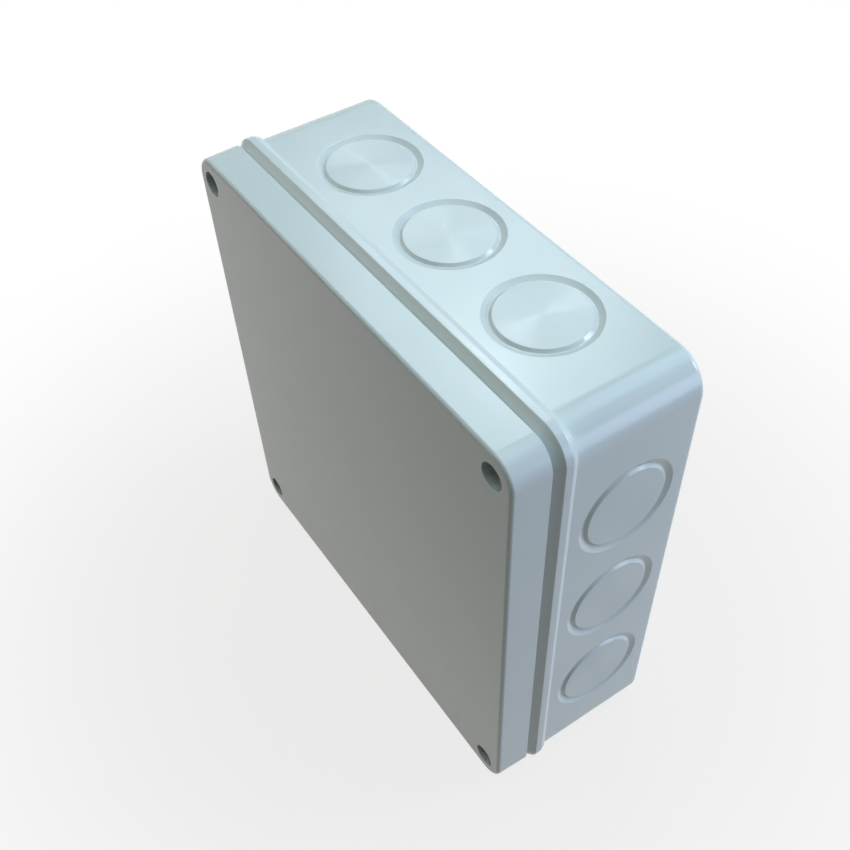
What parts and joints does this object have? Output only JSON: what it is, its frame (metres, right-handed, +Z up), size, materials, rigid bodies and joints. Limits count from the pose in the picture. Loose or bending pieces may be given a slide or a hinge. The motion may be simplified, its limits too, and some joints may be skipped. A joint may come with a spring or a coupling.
{
  "type": "junction box",
  "caption": "Square wall-mounting junction box: moulded tub with a rim and round knock-outs on every side, and a gasketed cover held by screws deep in its corners",
  "frame": {"origin": "under the middle of the box, on the lowest edge of the rim", "axes": "+Z up, +X to the right seen from the cover, the cover faces -Y and the flat back faces +Y"},
  "size_m": [0.2, 0.074, 0.2],
  "materials": {
    "base_shell": "pale grey moulded plastic, semi-gloss",
    "cover_shell": "pale grey moulded plastic, semi-gloss",
    "knockout_blanks": "pale grey moulded plastic with faint turning rings",
    "gasket": "foamed rubber",
    "screw_seals": "smooth rubber",
    "screw_steel": "zinc-plated steel"
  },
  "bodies": {
    "base": {"base": "base_shell", "knockout_top_1": "knockout_blanks", "knockout_top_2": "knockout_blanks", "knockout_top_3": "knockout_blanks", "knockout_right_1": "knockout_blanks", "knockout_right_2": "knockout_blanks", "knockout_right_3": "knockout_blanks", "knockout_bottom_1": "knockout_blanks", "knockout_bottom_2": "knockout_blanks", "knockout_bottom_3": "knockout_blanks", "knockout_left_1": "knockout_blanks", "knockout_left_2": "knockout_blanks", "knockout_left_3": "knockout_blanks"},
    "cover": {"cover": "cover_shell", "gasket": "gasket", "screw_seals": "screw_seals"},
    "cover_screw_top_left": {"cover_screw_top_left": "screw_steel"},
    "cover_screw_top_right": {"cover_screw_top_right": "screw_steel"},
    "cover_screw_bottom_left": {"cover_screw_bottom_left": "screw_steel"},
    "cover_screw_bottom_right": {"cover_screw_bottom_right": "screw_steel"}
  },
  "joints": [
    {"name": "cover_lift", "type": "slide", "parent": "base", "child": "cover", "axis": [0, -1, 0], "range_m": [0, 0.08]},
    {"name": "screw_turn_top_left", "type": "hinge", "parent": "cover", "child": "cover_screw_top_left", "pos_m": [-0.089, -0.0269, 0.189], "axis": [0, -1, 0], "continuous": true},
    {"name": "screw_turn_top_right", "type": "hinge", "parent": "cover", "child": "cover_screw_top_right", "pos_m": [0.089, -0.0269, 0.189], "axis": [0, -1, 0], "continuous": true},
    {"name": "screw_turn_bottom_left", "type": "hinge", "parent": "cover", "child": "cover_screw_bottom_left", "pos_m": [-0.089, -0.0269, 0.011], "axis": [0, -1, 0], "continuous": true},
    {"name": "screw_turn_bottom_right", "type": "hinge", "parent": "cover", "child": "cover_screw_bottom_right", "pos_m": [0.089, -0.0269, 0.011], "axis": [0, -1, 0], "continuous": true}
  ]
}
